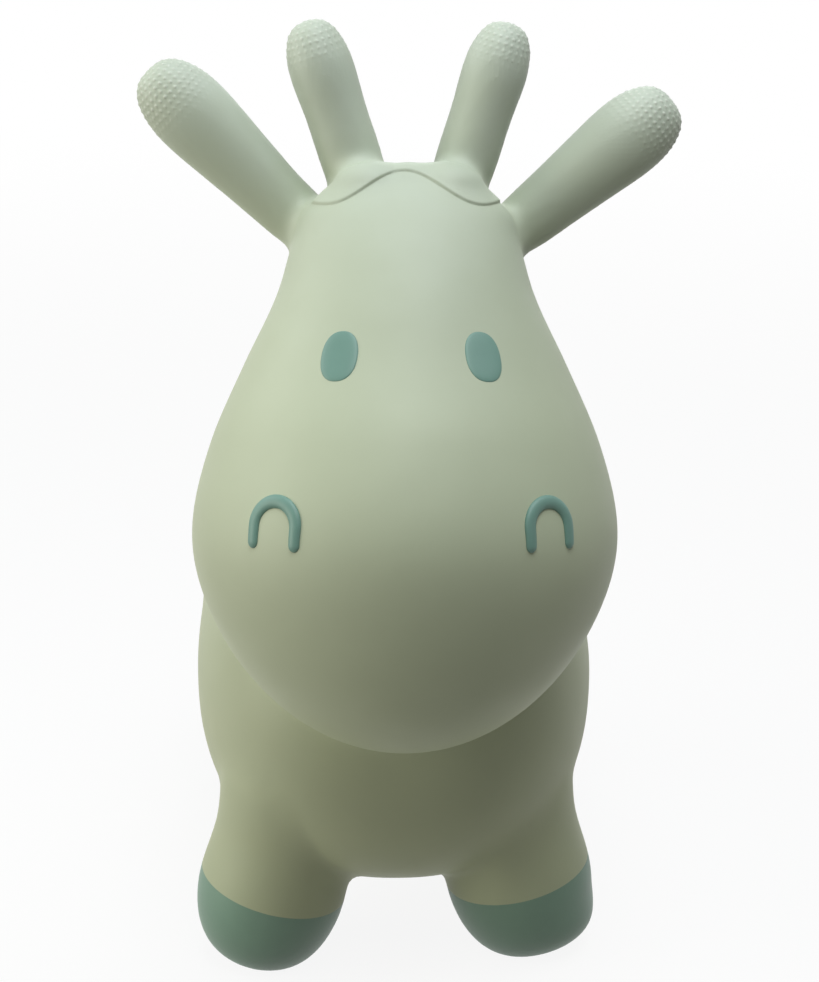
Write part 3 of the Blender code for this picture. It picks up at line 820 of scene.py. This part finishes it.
class Look(Nodes):
    """How a part looks: its material."""

    def __init__(self, name):
        self.material = bpy.data.materials.new(name)
        super().__init__(self.material)
        self.shader = self.tree.nodes["Principled BSDF"]

    def set(self, **sockets):
        for name, value in sockets.items():
            self.feed(self.shader.inputs[name.replace("_", " ")], value)
        return self.material

    def position(self):
        return self.signal("TexCoord", "Object", {})

    def noise(self, scale, detail=2.0, roughness=0.5):
        return self.signal("TexNoise", 0, {"Vector": self.position(), "Scale": scale,
                                           "Detail": detail, "Roughness": roughness})

    def height(self):
        """Height over the floor."""
        return self.signal("SeparateXYZ", "Z", {"Vector": self.position()})

    def distance(self):
        """Distance from the middle of the floor."""
        return self.signal("VectorMath", "Value", {0: self.position()}, operation="LENGTH")

    def between(self, value, low, high):
        """0 at low, 1 at high, and a soft step between them."""
        return self.signal("MapRange", "Result",
                           {"Value": value, "From Min": low, "From Max": high},
                           interpolation_type="SMOOTHSTEP")

    def attribute(self, name):
        """A value that the mesh carries, or else 0."""
        return self.signal("Attribute", 2, {}, attribute_name=name)

    def blend(self, share, first, second):
        return self.signal("Mix", 2, {"Factor": share, 6: first, 7: second}, data_type="RGBA")

    def bump(self, height, strength, distance, **under):
        return self.signal("Bump", "Normal", {"Height": height, "Strength": strength,
                                              "Distance": distance, **under})


def shade(colour, share):
    """The colour made darker or lighter."""
    return tuple(part * share for part in colour)


def sage_vinyl():
    """Soft matte vinyl: cloudy, with painted shade that makes it darker and yellower low down,
    painted light that makes it paler and bluer higher up and on the grips, painted highlights on
    the pimples' tops, a fine grain and the faint waves of a blown skin."""
    look = Look("sage_vinyl_skin")
    clouds = look.noise(7, 4, 0.55)
    blotches = look.noise(38, 3)
    grain = look.noise(1100, 2)
    waves = look.noise(24, 1)
    height = look.height()
    pimple_highlight = look.attribute("pimple_highlight")
    # painted shade: darker and yellower low down
    colour = look.blend(look.between(height, *SHADED_LOW_HEIGHTS) * 0.8, SAGE, SHADED_LOW_SAGE)
    # painted light: paler and bluer higher up and on the grips
    colour = look.blend(look.between(height, *LIT_TOP_HEIGHTS) * 0.85, colour, LIT_TOP_SAGE)
    cloudy = (clouds - 0.5) * 0.9 + (blotches - 0.5) * 0.3 + 0.35
    colour = look.blend(cloudy, colour, shade(SAGE, 0.88))
    # painted highlights: paler on the pimples' tops
    colour = look.blend(pimple_highlight * 0.5, colour, PIMPLE_HIGHLIGHT_SAGE)
    bumped = look.bump(grain, 0.14, 0.0002, Normal=look.bump(waves, 0.25, 0.0012))
    return look.set(Base_Color=colour, Normal=bumped,
                    Roughness=0.46 + blotches * 0.14 - pimple_highlight * 0.08)


def teal_paint(name, teal):
    """Sprayed paint: thin and thick by turns, with a fine orange peel and small scuffs low
    down, where it stands."""
    look = Look(name)
    clouds = look.noise(26, 4)
    peel = look.noise(700, 2)
    scuffs = look.between(look.noise(190, 3, 0.7), 0.60, 0.72)
    scuffed = scuffs * look.between(look.height(), *SCUFF_HEIGHTS)
    colour = look.blend(clouds, shade(teal, 0.86), shade(teal, 1.14))
    colour = look.blend(scuffed * 0.6, colour, SCUFFED_TEAL)
    return look.set(Base_Color=colour, Roughness=0.36 + clouds * 0.16 + scuffed * 0.2,
                    Normal=look.bump(peel, 0.16, 0.0002))


def ivory_rubber():
    """Soft moulded rubber with a dusty bloom."""
    look = Look("ivory_seat_rubber")
    bloom = look.noise(180, 4, 0.6)
    return look.set(Base_Color=look.blend(bloom, shade(IVORY, 0.90), IVORY),
                    Roughness=0.52 + bloom * 0.18,
                    Normal=look.bump(look.noise(900, 2), 0.15, 0.00015))


def cream_plastic():
    """Harder moulded plastic, smoother, with faint flow marks."""
    look = Look("cream_plug_plastic")
    flow = look.noise(90, 2, 0.4)
    return look.set(Base_Color=look.blend(flow, shade(CREAM, 0.95), CREAM),
                    Roughness=0.30 + flow * 0.10, Normal=look.bump(flow, 0.12, 0.0001))


def dressed(piece, material):
    piece.data.materials.append(material)
    return piece


def fixed(piece, node, body="hopper"):
    """Let a piece stand in for a node and move with a body."""
    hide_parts(node)
    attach(piece, body)


def stamp_frame(form, share, turn):
    """A frame on the form's surface: Z points out, Y up the skin and X across it."""
    point, out = form.on_surface(share, turn)
    up = (UP - out * out.z).normalized()
    across = up.cross(out)
    return Matrix.Translation(point) @ Matrix((across, up, out)).transposed().to_4x4()


def stamped(name, tree, pattern, fineness, stamp, lean):
    """A closed, rounded shape pressed on the skin. The pattern tells where each point of a ball
    lands on a flat drawing, and how high."""
    bm = unit_ball(fineness)
    turn = Matrix.Rotation(lean, 3, "Z")
    inwards = stamp.to_3x3() @ -UP
    for vert in bm.verts:
        flat, height = pattern(vert.co)
        flat = turn @ flat
        foot, out, _, _ = tree.ray_cast(stamp @ Vector((flat.x, flat.y, STAMP_HEIGHT)), inwards)
        vert.co = foot + out * height
    return smooth_object(name, bm)


def eye_pattern(point):
    """An egg-shaped button, a little proud of the skin, with a rounded rim."""
    flat = Vector((point.x, point.y, 0))
    if flat.length > 0:
        reach = flat.length ** EYE_FLATNESS
        flat.normalize()
        flat *= reach * (abs(flat.x) ** EYE_FULLNESS
                         + abs(flat.y) ** EYE_FULLNESS) ** (-1 / EYE_FULLNESS)
    return Vector((flat.x * EYE_WIDTH / 2, flat.y * EYE_HEIGHT / 2, 0)), point.z * EYE_RELIEF


def arch_point(along):
    """Middle line of the nostril's arch at a distance along it, and the way it runs there."""
    radius = NOSTRIL_SPREAD / 2
    if along < NOSTRIL_LEG:
        return Vector((radius, along - NOSTRIL_LEG, 0)), Vector((0, 1, 0))
    turn = (along - NOSTRIL_LEG) / radius
    if turn < pi:
        return (Vector((radius * cos(turn), radius * sin(turn), 0)),
                Vector((-sin(turn), cos(turn), 0)))
    past = along - NOSTRIL_LEG - pi * radius
    return Vector((-radius, -past, 0)), Vector((0, -1, 0))


def nostril_pattern(point):
    """A rounded bead along an arch, half sunk in the skin."""
    run = pi * NOSTRIL_SPREAD / 2 + 2 * NOSTRIL_LEG
    half = NOSTRIL_BAND / 2
    share = (1 + point.z) / 2
    around = point.xy.normalized()
    along = share * run
    end = min(along, run - along)
    size = sqrt(max(1 - max(1 - end / half, 0) ** 2, 0))
    size *= 1 - NOSTRIL_TAPER * abs(2 * share - 1) ** 2
    middle, way = arch_point(along)
    side = Vector((way.y, -way.x, 0))
    flat = middle + side * around.x * half * size + Vector((0, NOSTRIL_LEG / 2, 0))
    return flat, around.y * NOSTRIL_RELIEF * size


def split_off(skin, form, host, fillet):
    """Cut round a form where the skin gets clear of the fillet at its root. Returns how far along
    that is, and the test for what lies past it."""
    reach = ROOT_REACH * max(form.wide, form.over)
    clear = 0
    for vert in skin.verts:
        along = form.along_axis(vert.co)
        if (form.off_axis(vert.co) < reach and along > clear
                and host.height(vert.co)[0] < fillet):
            clear = along

    def past(point):
        return form.off_axis(point) < reach and form.along_axis(point) > clear

    def around(point):
        return form.off_axis(point) < reach and abs(form.along_axis(point) - clear) < 4 * SKIN_FACE

    split_faces(skin, around, form.start + form.along * clear, form.along)
    return clear, past


def split_leg(skin, name, leg):
    """Cut along a leg's give line and its paint line. Returns the tests for shank and hoof."""
    side = copysign(1, leg.start.x)
    front = "front" in name
    point, way = give_plane(side)
    paint, paint_way = hoof_plane(side, leg.start.y)
    fence = []
    for i in range(PAINT_FENCE_SIDES):
        turn = PAINT_FENCE_START + i * PAINT_FENCE_TURN
        out = Vector((-side * cos(turn), sin(turn) * (1 if front else -1), 0))
        fence.append((out - leg.along * out.dot(leg.along)).normalized())

    def quarter(place):
        return place.x * side > QUARTER_X and (place.y < MIDDLE_Y) == front

    def column(place):
        return (quarter(place) and leg.off_axis(place) < LEG_COLUMN
                and place.z < LEG_COLUMN_TOP)

    def under(place):
        return quarter(place) and (place - point).dot(way) > 0

    def painted(place):
        return (column(place) and (place - paint).dot(paint_way) > 0
                and all((place - leg.start).dot(out) < PAINT_REACH for out in fence))

    split_faces(skin, quarter, point, way)
    split_faces(skin, column, paint, paint_way)
    for out in fence:
        def at_fence(place, out=out):
            away = place - leg.start
            flat = away - leg.along * away.dot(leg.along)
            return (place.z < LEG_COLUMN_TOP and abs(away.dot(out) - PAINT_REACH) < 2 * SKIN_FACE
                    and flat.dot(out) > cos(PAINT_FENCE_TURN) * flat.length)

        split_faces(skin, at_fence, leg.start + out * PAINT_REACH, out)
    return under, painted


def cut_valve_hole(skin):
    hole = Vector((0, VALVE_Y, VALVE_Z))
    faces = [face for face in skin.faces
             if (face.calc_center_median() - hole).length < VALVE_HOLE_RADIUS]
    bmesh.ops.delete(skin, geom=faces, context="FACES")


def number_regions(skin, tests, in_body, in_hair):
    """Give every face the number of its region, and return the regions' names."""
    names = ["head", "body", "forelock", *tests]
    region = skin.faces.layers.int.new("region")
    for face in skin.faces:
        middle = face.calc_center_median()
        name = "body" if in_body(middle) else "head"
        if in_hair(face, middle):
            name = "forelock"
        for part, inside in tests.items():
            if inside(middle):
                name = part
        face[region] = names.index(name)
    return names


def slopes_as(name, skin):
    """Note how the skin slopes at each point now."""
    skin.normal_update()
    layer = skin.verts.layers.float_vector.new(name)
    for vert in skin.verts:
        vert[layer] = vert.normal


def shaped_skin(head, body, legs, grips, tail):
    """The skin cut into regions, with its hair, pimples and locks. Returns it, the regions' names
    and how far along each grip its region starts."""
    skin, head_over, body_over, tail_over = fused_skin(head, body, legs, grips, tail)
    tests, borders = {}, {}
    for name, grip in grips.items():
        fillet = EAR_FILLET if "ear" in name else HORN_FILLET
        borders[name], tests[name] = split_off(skin, grip, head_over, fillet)

    def on_tail(place):
        return (tail.off_axis(place) < TAIL_WIDTH and tail.along_axis(place) > 0
                and tail_over.height(place)[0] < body_over.height(place)[0])

    tests["tail"] = on_tail
    for name, leg in legs.items():
        tests[f"{name}_shank"], tests[f"{name}_hoof"] = split_leg(skin, name, leg)

    def on_crown(place):
        return (head.along_axis(place) > CROWN_SHARE * head.length
                and not any(tests[name](place) for name in grips))

    def at_hair_edge(place):
        out = head_over.height(place)[1]
        return on_crown(place) and abs(over_hair_edge(head, place, out)) < 2 * SKIN_FACE

    def at_tip(place):
        return any(grip.length - grip.along_axis(place) < pimple_rows(name) * PIMPLE_SPACING
                   and tests[name](place) for name, grip in grips.items())

    def in_body(place):
        return place.z < NAPE_TOP and body_over.height(place)[0] < head_over.height(place)[0]

    def in_hair(face, place):
        return on_crown(place) and over_hair_edge(head, place, face.normal) > -HAIR_RIM / 4

    refine(skin, at_hair_edge, 4)
    refine(skin, at_tip, 4)
    refine(skin, on_tail, 2)
    slopes_as("plain_slope", skin)
    # each point's share of the painted highlight on the pimples
    pimple_highlight = skin.verts.layers.float.new("pimple_highlight")
    cut_valve_hole(skin)
    names = number_regions(skin, tests, in_body, in_hair)
    raise_hair(skin, head, grips, on_crown)
    for name, grip in grips.items():
        raise_pimples(skin, grip, pimple_rows(name), pimple_highlight)
    comb_tail(skin, tail)
    slopes_as("slope", skin)
    return skin, names, borders


def build_skin(head, body, legs, grips, tail, sage, teal):
    skin, names, borders = shaped_skin(head, body, legs, grips, tail)

    def piece_of(region, name, material=sage):
        return dressed(skin_piece(name, skin, names.index(region)), material)

    fixed(piece_of("head", "head_vinyl"), "head_skin")
    fixed(piece_of("body", "body_vinyl"), "body_skin")
    fixed(piece_of("forelock", "forelock_hair"), "forelock")
    fixed(piece_of("tail", "tail_tuft"), "tail")
    for name, grip in grips.items():
        made = piece_of(name, f"{name}_vinyl")
        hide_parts(name, f"{name}_root")
        grip.start + grip.along * borders[name]
        grip.start + grip.along * (GRIP_ROOT_END + GRIP_GIVE)
        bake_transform(made)
    for name, leg in legs.items():
        for part, material, slot in (("shank", sage, "sage_vinyl"), ("hoof", teal, "teal_paint")):
            node = f"{name}_{part}"
            made = piece_of(node, f"{node}_vinyl", material)
            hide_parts(node)
            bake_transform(made)
    tree = BVHTree.FromBMesh(skin)
    skin.free()
    return tree


def build_face(head, tree, teal):
    for side, hand in SIDES:
        eye = stamped(f"{hand}_eye_paint", tree, eye_pattern, EYE_FINENESS,
                      stamp_frame(head, EYE_ALONG_SHARE, side * EYE_ROUND), side * EYE_LEAN)
        fixed(dressed(eye, teal), f"{hand}_eye")
        nostril = stamped(f"{hand}_nostril_bead", tree, nostril_pattern, NOSTRIL_FINENESS,
                          stamp_frame(head, NOSTRIL_ALONG_SHARE, side * NOSTRIL_ROUND),
                          -side * NOSTRIL_LEAN)
        fixed(dressed(nostril, teal), f"{hand}_nostril")


def turned(outline):
    """A turned piece: a closed outline of (radius, height), spun round the valve's axis, with
    its sharp edges rounded."""
    bm = bmesh.new()
    verts = [bm.verts.new((radius, VALVE_Y, VALVE_Z + height)) for radius, height in outline]
    edges = [bm.edges.new((verts[i - 1], verts[i])) for i in range(len(verts))
             if outline[i - 1][0] or outline[i][0]]
    bmesh.ops.spin(bm, geom=verts + edges, cent=(0, VALVE_Y, 0), axis=UP, dvec=(0, 0, 0),
                   angle=tau, steps=VALVE_STEPS, use_merge=True)
    bmesh.ops.remove_doubles(bm, verts=bm.verts, dist=SETTLED)
    bmesh.ops.recalc_face_normals(bm, faces=bm.faces)
    round_sharp_edges(bm)
    return bm


def round_edges(bm, edges, width, steps):
    bmesh.ops.bevel(bm, geom=edges, offset=width, offset_type="OFFSET", affect="EDGES",
                    segments=steps, profile=0.5, material=-1, clamp_overlap=True)


def round_sharp_edges(bm):
    sharp = [edge for edge in bm.edges if edge.calc_face_angle(0) > SHARP]
    round_edges(bm, sharp, VALVE_ROUNDING, VALVE_ROUNDING_STEPS)


def build_valve_seat(rubber):
    """The seat hangs in the belly like a grommet."""
    flange, lip, neck, bead = SEAT_FLANGE_RADIUS, SEAT_LIP_RADIUS, SEAT_NECK_RADIUS, SEAT_BEAD
    top = SEAT_FLANGE_THICKNESS
    inside = top + SEAT_GROOVE
    seat = turned(((BORE_RADIUS, bead), (BORE_RADIUS + bead, 0), (flange - 4 * bead, 0),
                   (flange - 3 * bead, -bead), (flange - bead, -bead), (flange, 0),
                   (flange, top), (neck, top), (neck, inside), (lip, inside),
                   (lip, inside + bead), (neck, SEAT_LENGTH), (BORE_RADIUS, SEAT_LENGTH)))
    fixed(dressed(smooth_object("valve_seat_detail", seat), rubber), "valve_seat")


def build_valve_plug(plastic):
    """The plug closes the seat's bore from below."""
    cap, bead, deep = PLUG_CAP_RADIUS, SEAT_BEAD, PLUG_GROOVE_DEPTH
    cap_top = -GAP
    cap_bottom = cap_top - PLUG_CAP_THICKNESS
    stem = BORE_RADIUS - GAP
    tip = cap_top + PLUG_STEM_LENGTH
    dish = cap * PLUG_DISH_SHARE
    outline = [(0, cap_bottom + bead), (dish, cap_bottom + bead), (dish + bead, cap_bottom),
               (cap - bead, cap_bottom), (cap, cap_bottom + bead), (cap, cap_top),
               (stem, cap_top)]
    for i in range(PLUG_GROOVES):
        low = cap_top + PLUG_GROOVE_PITCH * (i + 1)
        outline += [(stem, low), (stem - deep, low + deep), (stem - deep, low + 2 * deep),
                    (stem, low + 3 * deep)]
    outline += [(stem, tip - PLUG_TIP_LENGTH), (PLUG_TIP_RADIUS, tip), (0, tip)]
    plug = turned(outline)
    add_to(plug, pull_tab(cap_top - bead, PLUG_CAP_THICKNESS - 2 * bead))
    piece = dressed(smooth_object("valve_plug_detail", plug), plastic)
    fixed(piece, "valve_plug", "plug")


def pull_tab(top, thick):
    """A flat tab at the plug's cap with rounded outer corners."""
    middle = Vector(((PULL_TAB_START + PULL_TAB_END) / 2, VALVE_Y, VALVE_Z + top - thick / 2))
    size = (PULL_TAB_END - PULL_TAB_START, PULL_TAB_WIDTH, thick, 1)
    tab = bmesh.new()
    bmesh.ops.create_cube(tab, size=1, matrix=Matrix.Translation(middle) @ Matrix.Diagonal(size))
    corners = [edge for edge in tab.edges
               if abs(edge.verts[0].co.z - edge.verts[1].co.z) > thick / 2
               and edge.verts[0].co.x > middle.x]
    round_edges(tab, corners, PULL_TAB_CORNER, PULL_TAB_CORNER_STEPS)
    round_sharp_edges(tab)
    return tab


def add_to(bm, other):
    mesh = bpy.data.meshes.new("added")
    other.to_mesh(mesh)
    other.free()
    bm.from_mesh(mesh)
    bpy.data.meshes.remove(mesh)


def set_camera():
    data = bpy.data.cameras.new("photo_camera")
    data.sensor_width = SENSOR
    data.lens = CAMERA_FOCAL * SENSOR / PHOTO_HEIGHT
    data.shift_x = (PHOTO_WIDTH / 2 - PHOTO_MIDDLE[0]) / PHOTO_HEIGHT
    data.shift_y = (PHOTO_MIDDLE[1] - PHOTO_HEIGHT / 2) / PHOTO_HEIGHT
    camera = add_object("photo_camera", data)
    camera.matrix_world = (Matrix.Translation(CAMERA_TARGET) @ Matrix.Rotation(CAMERA_TURN, 4, "Z")
                           @ Matrix.Rotation(pi / 2 - CAMERA_RISE, 4, "X")
                           @ Matrix.Rotation(CAMERA_ROLL, 4, "Z")
                           @ Matrix.Translation((0, 0, CAMERA_AWAY)))
    bpy.context.scene.camera = camera


def build_floor():
    """A pale floor that looks white and keeps the toy's shadow."""
    bm = bmesh.new()
    bmesh.ops.create_circle(bm, cap_ends=True, segments=FLOOR_SIDES, radius=FLOOR_RADIUS)
    floor = object_from("studio_floor", bm)
    look = Look("pale_floor")
    seen = look.seen_directly()
    look.set(Base_Color=look.blend(seen, FLOOR_BOUNCE, FLOOR_SEEN), Roughness=0.9)
    far = look.between(look.distance(), FLOOR_NEAR, FLOOR_FAR)
    glow = look.node("Emission", {"Color": WHITE, "Strength": 1.0})
    look.show("Material Output", seen * (far * (1 - FLOOR_GLOW) + FLOOR_GLOW), look.shader, glow)
    floor.data.materials.append(look.material)


def light_the_studio():
    """Light from above and both sides, more from the picture's left."""
    for name, place, power, colour in LIGHTS:
        data = bpy.data.lights.new(name, "AREA")
        data.shape = "DISK"
        data.size = LIGHT_SIZE
        data.energy = power
        data.color = colour
        light = add_object(name, data)
        light.location = place
        towards = LIGHT_TARGET - Vector(place)
        light.rotation_euler = towards.to_track_quat("-Z", "Y").to_euler()


def light_the_room():
    """A little light from all round, and a white backdrop for what is seen."""
    world = bpy.data.worlds.new("pale_studio")
    bpy.context.scene.world = world
    room = Nodes(world)
    faint = room.tree.nodes["Background"]
    room.feed(faint.inputs["Color"], ROOM_COLOUR)
    room.feed(faint.inputs["Strength"], ROOM_LIGHT)
    backdrop = room.node("Background", {"Color": WHITE})
    room.show("World Output", room.seen_directly(), faint, backdrop)


def build():
    bpy.context.scene.view_settings.view_transform = "Standard"
    head = head_form()
    legs, grips = {}, {}
    for side, hand in SIDES:
        legs[f"front_{hand}"] = leg_form(side, FRONT_LEG_Y + side * LEG_STAGGER,
                                         LEFT_LEG_SHIFT if side > 0 else 0)
        legs[f"rear_{hand}"] = leg_form(side, REAR_LEG_Y)
        grips[f"{hand}_ear"] = ear_form(head, side)
        grips[f"{hand}_horn"] = horn_form(head, side)
    tree = build_skin(head, body_form(), legs, grips, tail_form(), sage_vinyl(),
                      teal_paint("teal_hoof_paint", HOOF_TEAL))
    build_face(head, tree, teal_paint("teal_face_paint", FACE_TEAL))
    build_valve_seat(ivory_rubber())
    build_valve_plug(cream_plastic())
    build_floor()
    light_the_studio()
    light_the_room()
    set_camera()


build()
